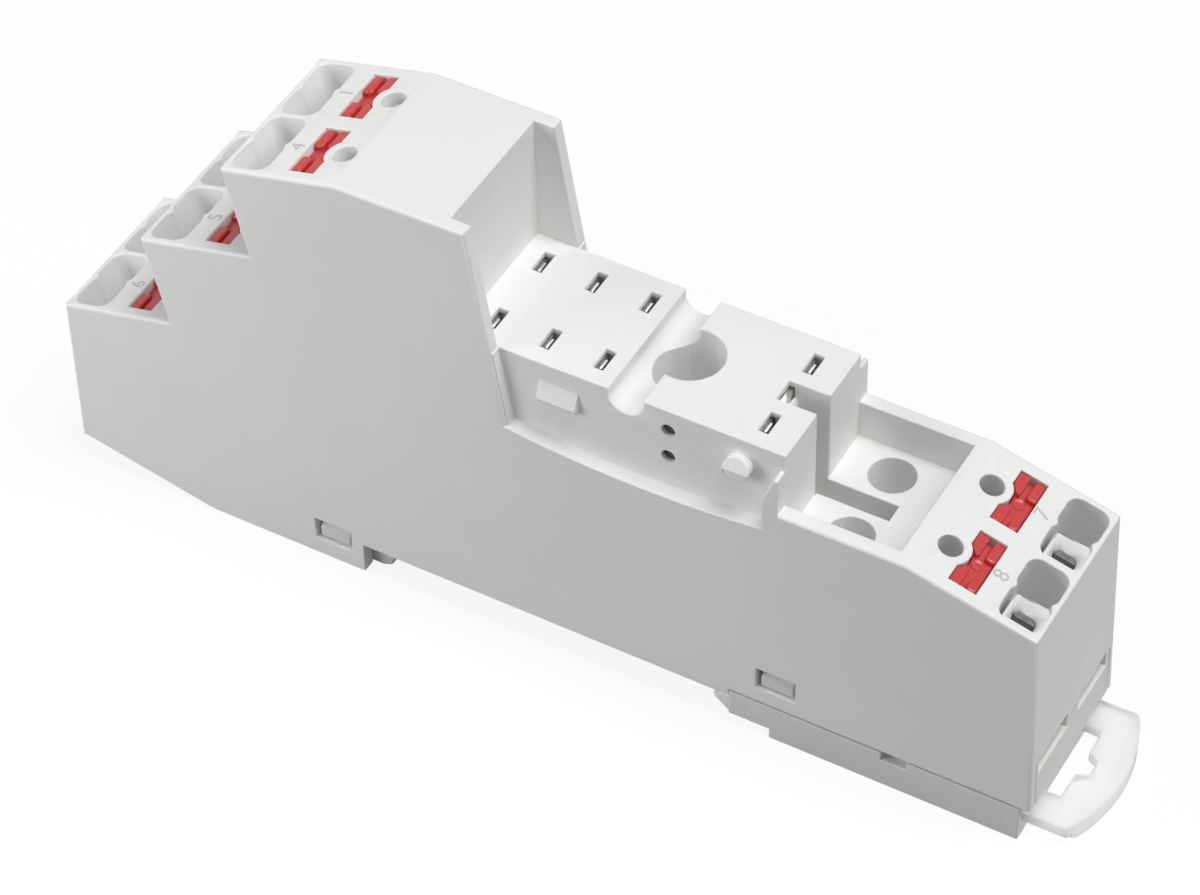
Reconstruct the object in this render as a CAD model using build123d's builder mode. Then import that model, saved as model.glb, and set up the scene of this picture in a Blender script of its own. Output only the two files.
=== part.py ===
from build123d import *
import os
from math import cos, radians, sin, tan

# Push-in socket for a two-pole relay, lying on its rail side. Millimetres, +X towards the coil end,
# +Y towards pole 1, +Z up from the feet. The origin is the middle of the underside.

# Housing outline, measured along the length from the contact end
body_width = 15.8
skin = 1.35
tier_run = 11.0
tier_angle = 14.6
tier_front_height = 18.6
riser_height = 8.8
riser_lean = 13.0
top_flat = 10.1
relay_bay_length = 29.9
tray_length = 10.3
tray_end_wall = 1.0
coil_run = 11.5
end_draft = 0.7
toe_height = 3.0
toe_length = 13.6
edge_round = 0.35

# Relay bay, deck block and the ledges beside it
deck_height = 32.5
cheek_reach = 1.85
cheek_lean = 9.1
ledge_height = 24.9
ledge_dip = 0.8
fin_length = 1.4
fin_shoulder = 3.3
fin_rise = 2.7
fin_top = 0.4
rim_height = 27.05
tray_floor = 23.3
groove_start = 13.95
groove_width = 3.15
groove_depth = 2.1
groove_lip = 1.0
post_hole_radius = 3.0
post_hole_depth = 8.0
post_hole_start = 17.8
tray_hole_radius = 2.0
tray_hole_depth = 5.0
tray_hole_start = 4.5
notch_length = 3.7
notch_width = 2.3
notch_depth = 12.7
tray_groove_length = 6.5
tray_groove_width = 1.8

# Relay pins: flat blades on a 5 mm by 7.5 mm grid
pole_pitch = 7.5
pin_pitch = 5.0
first_pin = 2.1
coil_pin = 27.0
slot_length = 0.95
slot_width = 2.35
deck_roof = 0.7

# Bosses on the sides of the deck block for the retaining clip
boss_start = 7.6
boss_length = 3.6
boss_base = 28.55
boss_height = 2.15
boss_reach = 0.4
boss_lip = 0.7
peg_start = 26.0
peg_height = 30.0
peg_radius = 1.1
peg_length = 1.3
peg_slant = 0.6
side_hole_start = 19.4
side_hole_heights = (27.4, 30.3)
side_hole_radius = 0.65
side_hole_depth = 1.4

# One terminal, measured on its tier from the outer edge
terminal_clearance = 0.1
pocket_rim = 0.4
pocket_length = 3.7
pocket_width = 7.0
pocket_round = 1.1
pinch_depth = 0.3
pinch_width = 1.1
pocket_depth = 5.4
pocket_taper = 0.35
wire_hole_length = 2.5
wire_hole_width = 2.6
wire_pitch = 3.1
window_start = 6.1
window_length = 2.5
window_width = 5.85
probe_hole_start = 9.85
probe_hole_radius = 1.05
probe_wall = 0.75
chamber_start = 0.75
chamber_length = 9.85
chamber_width = 6.0
chamber_roof = 7.4
chamber_height = 6.35
shelf_depth = 0.6
shelf_start = 0.15
shelf_end = 3.7
shelf_reach = 3.6
funnel_start = 0.5
funnel_rim = 0.45
funnel_depth = 1.6
wire_slot_length = 2.1
wire_slot_width = 1.2

# Release lever
lever_sink = 0.3
lever_travel = 1.2
pad_height = 0.35
pad_length = 0.85
pad_width = 2.05
pad_gap = 1.5
lever_flange = 1.0
flange_reach = 0.25
gap_length = 0.5
gap_width = 0.4
gap_depth = 1.6

# Contact parts
busbar_thickness = 0.6
busbar_width = 2.8
contact_plate_width = 5.2
bend_fold = 0.6
fork_height = 6.2
fork_base = 1.3
fork_pinch = 0.35
fork_mouth = 1.2
fork_thickness = 0.4
fork_width = 2.3
fork_play = 0.15
spring_thickness = 0.3
spring_width = 5.0
spring_loop = 3.4
spring_rise = 2.1
spring_round = 1.3
fixed_leg = 6.7
channel_clearance = 0.1
link_width = 2.1

# Heights of the busbars' level runs: the lowest tier's and the coil's; the other two rise from it by equal steps
lowest_run_height = 15.5
coil_run_height = 14.2
tongue_drop = 1.0

# Base with its rail hooks, and the slot for the 35 mm rail
rail_width = 35.0
rail_play = 0.6
rail_plane = 3.2
foot_length = 29.2
base_clearance = 0.1
base_toe = 14.2
base_plate = 1.7
foot_top = 4.0
foot_seam = 0.1
foot_setback = 0.95
thin_foot_length = 3.8
thin_foot_bottom = 1.05
hook_reach = 2.2
hook_height = 1.9
hook_bevel = 0.8
end_wall = 1.1
end_wall_height = 9.15
end_wall_play = 0.06
end_window_start = 1.0
end_window_width = 5.5
end_window_height = 1.6
end_lug_width = 4.4
end_lug_reach = 0.8
foot_notch_start = 14.1
foot_notch_length = 2.35
foot_notch_height = 1.0
foot_notch_depth = 0.9

# Snap hooks of the base in the windows of the housing's sides
snap_window_length = 3.65
snap_window_height = 2.35
snap_play = 0.35
snap_starts = (24.3, 67.3)
snap_sills = (1.85, 5.6)
snap_arm = 1.15
snap_inset = 0.3
snap_ramp = 0.7

# Rail latch and its return spring
latch_reach = 4.8
latch_half_width = 7.05
latch_bottom = 1.45
latch_thickness = 1.25
latch_play = 0.1
latch_travel = 3.0
nose_reach = 1.9
nose_top = 2.0
nose_tip = 0.65
nose_slope = 1.7
nose_flat = 0.7
loop_bow = 1.8
loop_window_half = 4.0
loop_bar = 3.8
arrow_half = 1.35
arrow_depth = 1.1
arrow_tip_half = 0.8
lip_width = 1.0
lip_depth = 0.6
lip_setback = 0.75
post_start = 18.2
post_length = 1.0
post_width = 2.4
spring_bay_length = 12.1
spring_bay_half = 2.7
return_spring_thickness = 0.3
return_spring_height = 0.9
return_spring_half = 2.1
return_spring_folds = 6

half_width = body_width / 2
inner_half = half_width - skin
tier_rise = tier_run * tan(radians(tier_angle))
riser_offset = riser_height * tan(radians(riser_lean))
tier_step = tier_run - riser_offset
top_height = tier_front_height + 3 * tier_rise + 2 * riser_height
crest = 2 * tier_step + tier_run
housing_length = crest + top_flat + relay_bay_length + tray_length + tray_end_wall + coil_run + end_draft

# Places along X
left_x = -(housing_length + latch_reach) / 2
crest_x = left_x + crest
back_wall_x = crest_x + top_flat
block_end_x = back_wall_x + relay_bay_length
tray_end_x = block_end_x + tray_length
crease_x = tray_end_x + tray_end_wall
coil_end_x = crease_x + coil_run
right_x = left_x + housing_length
slot_x = left_x + foot_length
foot_x = slot_x + rail_width + rail_play
foot_end_x = right_x - foot_setback
coil_end_height = rim_height - coil_run * tan(radians(tier_angle))
cheek_foot_x = back_wall_x + cheek_reach + (top_height - ledge_height) * tan(radians(cheek_lean))
bay_ceiling = rail_plane + base_plate
lug_base = end_wall_height - end_window_height


def tier_plane(x, height, inboard):
    """Plane of a terminal tier: local x runs inboard and up the slope, local z points out of it."""
    slope, rise = cos(radians(tier_angle)), sin(radians(tier_angle))
    return Plane(origin=(x, 0, height), x_dir=(inboard * slope, 0, rise), z_dir=(-inboard * rise, 0, slope))


def side_plane(tier, v):
    """Plane across a terminal: local x as the tier's, local y along its outward normal."""
    return Plane(origin=tier.origin + tier.y_dir * v, x_dir=tier.x_dir, z_dir=tier.y_dir * -1)


def tier_point(tier, u, w):
    """Place in the XZ plane of a point u inboard of a tier's outer edge and w out of the tier."""
    place = tier.from_local_coords(Vector(u, 0, w))
    return (place.X, place.Z)


contact_tiers = []
for level in range(3):
    front_x = left_x + level * tier_step
    front_height = tier_front_height + level * (tier_rise + riser_height)
    contact_tiers.append(tier_plane(front_x, front_height, 1))
coil_tier = tier_plane(coil_end_x, coil_end_height, -1)

fork_bottom = deck_height - deck_roof - fork_height
run_step = (fork_bottom - lowest_run_height) / 2
run_heights = [lowest_run_height + level * run_step for level in range(3)]

# Each terminal row: its name, its tier, the X of its pin slot and the height of its busbar's run
rows = [
    ("com", contact_tiers[0], back_wall_x + first_pin + 2 * pin_pitch, run_heights[0]),
    ("no", contact_tiers[1], back_wall_x + first_pin + pin_pitch, run_heights[1]),
    ("nc", contact_tiers[2], back_wall_x + first_pin, run_heights[2]),
    ("coil", coil_tier, back_wall_x + coil_pin, coil_run_height),
]
poles = {1: pole_pitch / 2, 2: -pole_pitch / 2}

# Places inside a terminal, on the tier's own axes
pocket_centre = pocket_rim + pocket_length / 2
window_centre = window_start + window_length / 2
chamber_floor = -(chamber_roof + chamber_height)
busbar_level = chamber_floor + terminal_clearance / 2 + busbar_thickness / 2
plate_u = chamber_start + terminal_clearance / 2 + busbar_thickness / 2
fixed_leg_level = busbar_level + busbar_thickness / 2 + spring_thickness / 2
spring_end_u = chamber_start + chamber_length - terminal_clearance * 5
spring_tip_u = plate_u + busbar_thickness / 2 + spring_thickness / 2
spring_top_level = fixed_leg_level + spring_loop
leg_slope = spring_rise / (spring_end_u - spring_tip_u)
lever_foot_u = window_start + window_length - terminal_clearance
lever_foot_level = spring_top_level - (spring_end_u - lever_foot_u) * leg_slope + spring_thickness * 0.65
exit_u = chamber_start + chamber_length + terminal_clearance


def folded(points):
    """Points of a strip's centre line, with each bend pressed as two folds."""
    path = [Vector(*points[0])]
    for before, corner, after in zip(points, points[1:], points[2:]):
        corner = Vector(*corner)
        path.append(corner + (Vector(*before) - corner).normalized() * bend_fold)
        path.append(corner + (Vector(*after) - corner).normalized() * bend_fold)
    path.append(Vector(*points[-1]))
    return path


def busbar_run(tier, pin_x, run_height):
    """Points of the busbar from the chamber's inboard wall to the foot of its fork."""
    start = tier_point(tier, chamber_start + chamber_length - 2 * busbar_thickness, busbar_level)
    leave = tier_point(tier, exit_u + busbar_thickness, busbar_level)
    if run_height < fork_bottom - 3 * bend_fold:
        fall = abs(run_height - leave[1]) * 0.8
        towards = 1 if pin_x > leave[0] else -1
        return [start, leave, (leave[0] + towards * (fall + 3 * bend_fold), run_height),
                (pin_x, run_height), (pin_x, fork_bottom + fork_thickness / 2)]
    return [start, leave, (pin_x - 6 * bend_fold, fork_bottom), (pin_x, fork_bottom)]


def pocket_outline(shrink):
    """Two-lobed outline of a wire pocket, pinched between its two wire holes, shrunk on all sides."""
    half_length = pocket_length / 2 - shrink
    half_lobe = pocket_width / 2 - shrink
    pinch = half_length - pinch_depth
    with BuildSketch() as outline:
        with BuildLine():
            FilletPolyline(
                (half_length, pinch_width / 2),
                (half_length, half_lobe),
                (-half_length, half_lobe),
                (-half_length, pinch_width / 2),
                radius=pocket_round - shrink,
            )
            Polyline((-half_length, pinch_width / 2), (-pinch, 0), (-half_length, -pinch_width / 2))
            FilletPolyline(
                (-half_length, -pinch_width / 2),
                (-half_length, -half_lobe),
                (half_length, -half_lobe),
                (half_length, -pinch_width / 2),
                radius=pocket_round - shrink,
            )
            Polyline((half_length, -pinch_width / 2), (pinch, 0), (half_length, pinch_width / 2))
        make_face()
    return outline.sketch


def lever_outline(grow):
    """Window outline of a release lever, waisted round the probe hole, grown on all sides."""
    with BuildSketch() as outline:
        with Locations((window_centre, 0)):
            Rectangle(window_length + 2 * grow, window_width + 2 * grow)
        with Locations((probe_hole_start, 0)):
            Circle(probe_hole_radius + probe_wall - grow, mode=Mode.SUBTRACT)
    return outline.sketch


# Housing: one moulding, first its outline with rounded edges
with BuildPart() as housing:
    with BuildSketch(Plane.XZ) as side:
        with BuildLine():
            start = (left_x, toe_height)
            contact_end = [start]
            for tier in contact_tiers:
                contact_end.append(tier_point(tier, 0, 0))
                contact_end.append(tier_point(tier, tier_run / cos(radians(tier_angle)), 0))
            cheek_tip = (back_wall_x + cheek_reach, top_height)
            cheek_foot = (cheek_foot_x, ledge_height)
            ledge_end = (block_end_x - fin_length, ledge_height - 0.1)
            Polyline(*contact_end, cheek_tip, cheek_foot)
            middle_x = (cheek_foot_x + ledge_end[0]) / 2
            ThreePointArc(cheek_foot, (middle_x, ledge_height - ledge_dip), ledge_end)
            Polyline(
                ledge_end,
                (ledge_end[0], ledge_end[1] + fin_shoulder),
                (block_end_x - fin_top, ledge_end[1] + fin_shoulder + fin_rise),
                (block_end_x, ledge_end[1] + fin_shoulder + fin_rise),
                (block_end_x, rim_height),
                (crease_x, rim_height),
                (coil_end_x, coil_end_height),
                (right_x, foot_top),
                (foot_x, foot_top),
                (foot_x, rail_plane),
                (slot_x, rail_plane),
                (slot_x, 0),
                (left_x + toe_length, 0),
                start,
            )
        make_face()
    extrude(amount=half_width, both=True)
    outline_edges = housing.edges().filter_by(
        lambda edge: abs(abs(edge.center().Y) - half_width) < 0.01
        and edge.center().Z > foot_top + 1
        and not (cheek_foot_x - 0.1 < edge.center().X < block_end_x + 0.1 and edge.center().Z < deck_height)
    )
    fillet(outline_edges, edge_round)

    # Bay for the relay between the cheeks, and the tray for a plug-in module
    with BuildSketch(Plane.XZ):
        with BuildLine():
            Polyline(
                (back_wall_x, deck_height),
                (back_wall_x, top_height + 1),
                (cheek_foot_x, top_height + 1),
                (cheek_foot_x, deck_height),
                close=True,
            )
        make_face()
    extrude(amount=inner_half, both=True, mode=Mode.SUBTRACT)
    with BuildSketch(Plane.XZ):
        with Locations((block_end_x, tray_floor)):
            Rectangle(tray_length, top_height - tray_floor, align=(Align.MIN, Align.MIN))
    extrude(amount=inner_half, both=True, mode=Mode.SUBTRACT)

    # Deck block, crossed by a round-bottomed groove
    with BuildSketch(Plane.XZ):
        with BuildLine():
            groove_x = back_wall_x + groove_start
            groove_end = (groove_x + groove_width, deck_height)
            groove_side = (groove_x, deck_height - groove_lip)
            Polyline(groove_end, (block_end_x, deck_height), (block_end_x, ledge_height - 2 * ledge_dip),
                     (back_wall_x, ledge_height - 2 * ledge_dip), (back_wall_x, deck_height),
                     (groove_x, deck_height), groove_side)
            ThreePointArc(groove_side, (groove_x + groove_width * 0.48, deck_height - groove_depth), groove_end)
        make_face()
    extrude(amount=inner_half, both=True)
    with BuildSketch(Plane.XY.offset(deck_height)):
        with Locations((back_wall_x + post_hole_start, 0)):
            Circle(post_hole_radius)
    extrude(amount=-post_hole_depth, mode=Mode.SUBTRACT)
    with BuildSketch(Plane.XY.offset(deck_height)):
        with Locations((block_end_x, 0)):
            Rectangle(notch_length, notch_width, align=(Align.MAX, Align.CENTER))
            Rectangle(tray_groove_length, tray_groove_width, align=(Align.MIN, Align.CENTER))
    extrude(amount=-notch_depth, mode=Mode.SUBTRACT)
    with BuildSketch(Plane.XY.offset(tray_floor)):
        with Locations(*[(block_end_x + tray_hole_start, y) for y in poles.values()]):
            Circle(tray_hole_radius)
    extrude(amount=-tray_hole_depth, mode=Mode.SUBTRACT)

    # Ramps, pegs and small holes on both sides of the block
    with BuildSketch(Plane.YZ.offset(back_wall_x + boss_start)):
        with BuildLine():
            Polyline(
                (-inner_half, boss_base),
                (-inner_half - boss_reach, boss_base),
                (-inner_half - boss_reach, boss_base + boss_lip),
                (-inner_half, boss_base + boss_height),
                close=True,
            )
        make_face()
        mirror(about=Plane.YZ)
    extrude(amount=boss_length)
    with BuildSketch(Plane.XZ):
        with Locations((back_wall_x + peg_start, peg_height)):
            Circle(peg_radius)
    extrude(amount=inner_half + peg_length, both=True)
    with BuildSketch(Plane.YZ.offset(back_wall_x + peg_start - peg_radius)):
        with BuildLine():
            Polyline(
                (inner_half + peg_length - peg_slant, peg_height + peg_radius),
                (inner_half + peg_length, peg_height + peg_radius),
                (inner_half + peg_length, peg_height),
                close=True,
            )
        make_face()
        mirror(about=Plane.YZ)
    extrude(amount=2 * peg_radius, mode=Mode.SUBTRACT)
    for side_sign in (1, -1):
        with BuildSketch(Plane.XZ.offset(side_sign * inner_half)):
            with Locations(*[(back_wall_x + side_hole_start, z) for z in side_hole_heights]):
                Circle(side_hole_radius)
        extrude(amount=-side_sign * side_hole_depth, mode=Mode.SUBTRACT)

    # Terminals: wire pocket, lever window, probe hole and clamp chamber, two on each tier
    for row, tier, pin_x, run_height in rows:
        for y in poles.values():
            v = y * tier.y_dir.Y
            with BuildSketch(tier):
                with Locations((pocket_centre, v)):
                    add(pocket_outline(0))
            with BuildSketch(tier.offset(-pocket_depth)):
                with Locations((pocket_centre, v)):
                    add(pocket_outline(pocket_taper))
            loft(mode=Mode.SUBTRACT)
            with BuildSketch(tier.offset(-pocket_depth)):
                with Locations((pocket_centre, v)):
                    with GridLocations(1, wire_pitch, 1, 2):
                        Rectangle(wire_hole_length, wire_hole_width)
            extrude(amount=-(chamber_roof - pocket_depth), mode=Mode.SUBTRACT)
            with BuildSketch(tier):
                with Locations((0, v)):
                    add(lever_outline(0))
                with Locations((probe_hole_start, v)):
                    Circle(probe_hole_radius)
            extrude(amount=-chamber_roof, mode=Mode.SUBTRACT)
            with BuildSketch(tier.offset(-chamber_roof)):
                with Locations((chamber_start, v)):
                    Rectangle(chamber_length, chamber_width, align=(Align.MIN, Align.CENTER))
            extrude(amount=-chamber_height, mode=Mode.SUBTRACT)

            # Channel of the busbar, pocket of its fork and slot for the relay's pin
            with BuildSketch(Plane.XZ.offset(-y)):
                with BuildLine():
                    Polyline(*folded(busbar_run(tier, pin_x, run_height)))
                trace(line_width=busbar_thickness + 2 * channel_clearance)
            extrude(amount=busbar_width / 2 + channel_clearance, both=True, mode=Mode.SUBTRACT)
            with BuildSketch(Plane.XY.offset(deck_height - deck_roof)):
                with Locations((pin_x, y)):
                    Rectangle(fork_mouth + 2 * fork_thickness + 2 * fork_play, busbar_width + 2 * fork_play)
            extrude(amount=-(fork_height + fork_thickness), mode=Mode.SUBTRACT)
            with BuildSketch(Plane.XY.offset(deck_height)):
                with Locations((pin_x, y)):
                    Rectangle(slot_length, slot_width)
            extrude(amount=-deck_roof, mode=Mode.SUBTRACT)

    # Slit that lets the coil contacts reach into the inner end of the notch
    with BuildSketch(Plane.XY.offset(deck_height - deck_roof)):
        with Locations((rows[3][2] - fork_base / 2, 0)):
            Rectangle(fork_thickness + 2 * channel_clearance, pole_pitch)
    extrude(amount=-(fork_height - fork_base), mode=Mode.SUBTRACT)

    # Shelf in the near lobe of each coil pocket, with a funnel down to the wire slot
    for y in poles.values():
        near = -coil_tier.y_dir.Y
        v = y * coil_tier.y_dir.Y
        shelf_u = (shelf_start + shelf_reach) / 2
        shelf_v = v + near * (shelf_start + shelf_end) / 2
        funnel_u = (pocket_rim + shelf_reach) / 2
        funnel_length = shelf_reach - pocket_rim - 2 * funnel_rim
        funnel_end = pocket_width / 2 - funnel_rim
        with BuildSketch(coil_tier.offset(-shelf_depth)):
            with Locations((shelf_u, shelf_v)):
                Rectangle(shelf_reach - shelf_start, shelf_end - shelf_start)
        extrude(amount=-(pocket_depth - shelf_depth))
        with BuildSketch(coil_tier.offset(-shelf_depth)):
            with Locations((funnel_u, v + near * (funnel_start + funnel_end) / 2)):
                Rectangle(funnel_length, funnel_end - funnel_start)
        with BuildSketch(coil_tier.offset(-shelf_depth - funnel_depth)):
            with Locations((funnel_u, v + near * (funnel_end - wire_slot_width / 2))):
                Rectangle(wire_slot_length, wire_slot_width)
        loft(mode=Mode.SUBTRACT)
        with BuildSketch(coil_tier.offset(-shelf_depth - funnel_depth)):
            with Locations((funnel_u, v + near * (funnel_end - wire_slot_width / 2))):
                Rectangle(wire_slot_length, wire_slot_width)
        extrude(amount=-(chamber_roof - shelf_depth - funnel_depth), mode=Mode.SUBTRACT)

    # Bay in the underside for the base, with the rebate for its end wall
    with BuildSketch(Plane.XZ):
        with Locations((left_x + base_toe, 0)):
            Rectangle(right_x - end_wall - left_x - base_toe, bay_ceiling, align=(Align.MIN, Align.MIN))
    extrude(amount=inner_half, both=True, mode=Mode.SUBTRACT)
    with BuildSketch(Plane.XZ):
        with Locations((right_x + 1, 0)):
            Rectangle(end_wall + 1, end_wall_height + end_wall_play, align=(Align.MAX, Align.MIN))
    extrude(amount=latch_half_width, both=True, mode=Mode.SUBTRACT)
    for lug_start in (end_window_start, -end_window_start - end_window_width):
        with BuildSketch(Plane.XZ.offset(-lug_start - end_lug_width / 2)):
            with BuildLine():
                Polyline(
                    (right_x - end_wall - 0.5, lug_base),
                    (right_x - end_wall, lug_base),
                    (right_x - end_wall + end_lug_reach, lug_base + end_lug_reach),
                    (right_x - end_wall + end_lug_reach, end_wall_height),
                    (right_x - end_wall - 0.5, end_wall_height),
                    close=True,
                )
            make_face()
        extrude(amount=end_lug_width / 2, both=True)

    # Snap windows through both sides, and the pockets of the arms behind them
    for snap_start, sill in zip(snap_starts, snap_sills):
        window_top = sill + snap_window_height
        for side_sign in (1, -1):
            inwards = Align.MAX if side_sign > 0 else Align.MIN
            with Locations((left_x + snap_start, side_sign * (half_width + 1), sill)):
                Box(snap_window_length, skin + 2, snap_window_height,
                    align=(Align.MIN, inwards, Align.MIN), mode=Mode.SUBTRACT)
            with Locations((left_x + snap_start, side_sign * inner_half, rail_plane)):
                Box(snap_window_length, snap_arm + snap_play, window_top - rail_plane,
                    align=(Align.MIN, inwards, Align.MIN), mode=Mode.SUBTRACT)
housing.part.label = "housing"

# Base: rail seat and hooks, foot with the latch's slide, and the end wall
with BuildPart() as base:
    base_half = inner_half - base_clearance
    with BuildSketch(Plane.XZ):
        with BuildLine():
            Polyline(
                (left_x + base_toe + base_clearance, 0),
                (slot_x, 0),
                (slot_x + hook_reach - hook_bevel, 0),
                (slot_x + hook_reach, hook_bevel),
                (slot_x + hook_reach, hook_height),
                (slot_x, hook_height),
                (slot_x, rail_plane),
                (right_x - end_wall, rail_plane),
                (right_x - end_wall, bay_ceiling),
                (left_x + base_toe + base_clearance, bay_ceiling),
                close=True,
            )
        make_face()
    extrude(amount=base_half, both=True)
    with BuildSketch(Plane.XZ):
        with BuildLine():
            Polyline(
                (foot_x, thin_foot_bottom),
                (foot_x + thin_foot_length, thin_foot_bottom),
                (foot_x + thin_foot_length, 0),
                (foot_end_x, 0),
                (foot_end_x, foot_top - foot_seam),
                (foot_x, foot_top - foot_seam),
                close=True,
            )
        make_face()
    extrude(amount=half_width, both=True)
    with BuildSketch(Plane.XZ):
        with BuildLine():
            Polyline(
                (right_x - end_wall, foot_top),
                (right_x, foot_top),
                (right_x - end_draft * (end_wall_height - foot_top) / (coil_end_height - foot_top),
                 end_wall_height),
                (right_x - end_wall, end_wall_height),
                close=True,
            )
        make_face()
    extrude(amount=latch_half_width - end_wall_play, both=True)
    with BuildSketch(Plane.YZ.offset(right_x - end_wall - 1)):
        with Locations((end_window_start, lug_base), (-end_window_start - end_window_width, lug_base)):
            Rectangle(end_window_width, end_window_height, align=(Align.MIN, Align.MIN))
    extrude(amount=end_wall + 2, mode=Mode.SUBTRACT)
    with BuildSketch(Plane.XZ):
        with Locations((foot_x + foot_notch_start, foot_top)):
            Rectangle(foot_notch_length, foot_notch_height + foot_seam, align=(Align.MIN, Align.MAX))
    notches = extrude(amount=half_width + 1, both=True, mode=Mode.PRIVATE)
    with BuildSketch(Plane.XZ):
        with Locations((foot_x, 0)):
            Rectangle(foot_end_x - foot_x, foot_top, align=(Align.MIN, Align.MIN))
    notch_core = extrude(amount=half_width - foot_notch_depth, both=True, mode=Mode.PRIVATE)
    add(notches - notch_core, mode=Mode.SUBTRACT)

    # Slide for the latch, open below at the thin end, with the post that its spring pushes on
    with BuildSketch(Plane.XZ):
        with Locations((foot_x - 1, latch_bottom - latch_play)):
            Rectangle(foot_end_x - foot_x + 2, latch_thickness + 2 * latch_play, align=(Align.MIN, Align.MIN))
        with Locations((foot_x - 1, 0)):
            Rectangle(thin_foot_length + 1, latch_bottom, align=(Align.MIN, Align.MIN))
    extrude(amount=latch_half_width + latch_play, both=True, mode=Mode.SUBTRACT)
    with BuildSketch(Plane.XY.offset(latch_bottom + latch_thickness + latch_play)):
        with Locations((foot_x + post_start, 0)):
            Rectangle(post_length, post_width, align=(Align.MIN, Align.CENTER))
    extrude(amount=-latch_thickness)

    # Snap hooks: on the side of the toe block, and on arms above the foot
    for snap_start, sill in zip(snap_starts, snap_sills):
        hook_top = sill + snap_window_height - snap_play
        with BuildSketch(Plane.YZ.offset(left_x + snap_start + snap_play)):
            with BuildLine():
                Polyline(
                    (base_half - snap_arm, rail_plane),
                    (base_half, rail_plane),
                    (base_half, sill + snap_play / 2),
                    (half_width - snap_inset, sill + snap_play / 2),
                    (half_width - snap_inset, hook_top - snap_ramp),
                    (base_half, hook_top),
                    (base_half - snap_arm, hook_top),
                    close=True,
                )
            make_face()
            mirror(about=Plane.YZ)
        extrude(amount=snap_window_length - 2 * snap_play)
base.part.label = "base"

# Rail latch: one sliding plate with its nose under the rail, and the pull loop outside
with BuildPart() as rail_latch:
    latch_top = latch_bottom + latch_thickness
    tip_x = foot_x - nose_reach
    flange_x = foot_x + nose_flat
    with BuildSketch(Plane.XZ):
        with BuildLine():
            Polyline(
                (tip_x, nose_top),
                (tip_x, nose_top - nose_tip),
                (tip_x + nose_slope, 0),
                (flange_x, 0),
                (flange_x, latch_bottom),
                (foot_x + thin_foot_length, latch_bottom),
                (foot_x + thin_foot_length, latch_top),
                (foot_x, latch_top),
                (foot_x, nose_top),
                close=True,
            )
        make_face()
    extrude(amount=latch_half_width, both=True)
    loop_x = right_x + latch_reach
    corner_x = loop_x - loop_bow
    with BuildSketch(Plane.XY.offset(latch_bottom)):
        with BuildLine():
            ThreePointArc((corner_x, -latch_half_width), (loop_x, 0), (corner_x, latch_half_width))
            Polyline((corner_x, latch_half_width), (foot_x, latch_half_width),
                     (foot_x, -latch_half_width), (corner_x, -latch_half_width))
        make_face()
        window_end = loop_x - loop_bar
        window_x = foot_end_x - latch_travel - latch_play
        with BuildLine():
            Polyline(
                (window_x, loop_window_half),
                (window_end, loop_window_half),
                (window_end, arrow_half),
                (window_end + arrow_depth, arrow_tip_half),
                (window_end + arrow_depth, -arrow_tip_half),
                (window_end, -arrow_half),
                (window_end, -loop_window_half),
                (window_x, -loop_window_half),
                close=True,
            )
        make_face(mode=Mode.SUBTRACT)
        bay_end_x = foot_x + post_start + post_length + latch_play
        with Locations((bay_end_x, 0)):
            Rectangle(spring_bay_length, 2 * spring_bay_half, align=(Align.MAX, Align.CENTER),
                      mode=Mode.SUBTRACT)
    extrude(amount=latch_thickness)
    with BuildSketch(Plane.XY.offset(latch_bottom - lip_depth)):
        lip_x = corner_x - lip_width
        with BuildLine():
            ThreePointArc((corner_x, -latch_half_width), (loop_x, 0), (corner_x, latch_half_width))
            Polyline((corner_x, latch_half_width), (lip_x, latch_half_width),
                     (lip_x, -latch_half_width), (corner_x, -latch_half_width))
        make_face()
        with BuildLine():
            ThreePointArc((lip_x, -latch_half_width), (loop_x - lip_width, 0), (lip_x, latch_half_width))
            Line((lip_x, latch_half_width), (lip_x, -latch_half_width))
        make_face(mode=Mode.SUBTRACT)
        with Locations((lip_x, 0)):
            Rectangle(4 * lip_width, 2 * (latch_half_width - lip_setback), align=(Align.MIN, Align.CENTER),
                      mode=Mode.INTERSECT)
    extrude(amount=lip_depth)
rail_latch.part.label = "rail_latch"

# Return spring of the latch: a folded steel strip between the latch and the base's post
with BuildPart() as latch_spring:
    bay_start_x = bay_end_x - spring_bay_length
    post_x = foot_x + post_start
    fold_start = bay_start_x + return_spring_thickness
    fold_pitch = (post_x - return_spring_thickness - fold_start) / return_spring_folds
    folds = [(bay_start_x + return_spring_thickness / 2, -return_spring_half / 2),
             (bay_start_x + return_spring_thickness / 2, return_spring_half)]
    for fold in range(1, return_spring_folds):
        side_sign = -1 if fold % 2 else 1
        folds.append((fold_start + fold * fold_pitch, side_sign * return_spring_half))
    folds.append((post_x - return_spring_thickness / 2, return_spring_half))
    folds.append((post_x - return_spring_thickness / 2, -return_spring_half / 2))
    spring_base = latch_bottom + (latch_thickness - return_spring_height) / 2
    with BuildSketch(Plane.XY.offset(spring_base)):
        with BuildLine():
            Polyline(*folds)
        trace(line_width=return_spring_thickness)
    extrude(amount=return_spring_height)
latch_spring.part.label = "latch_spring"


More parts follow.
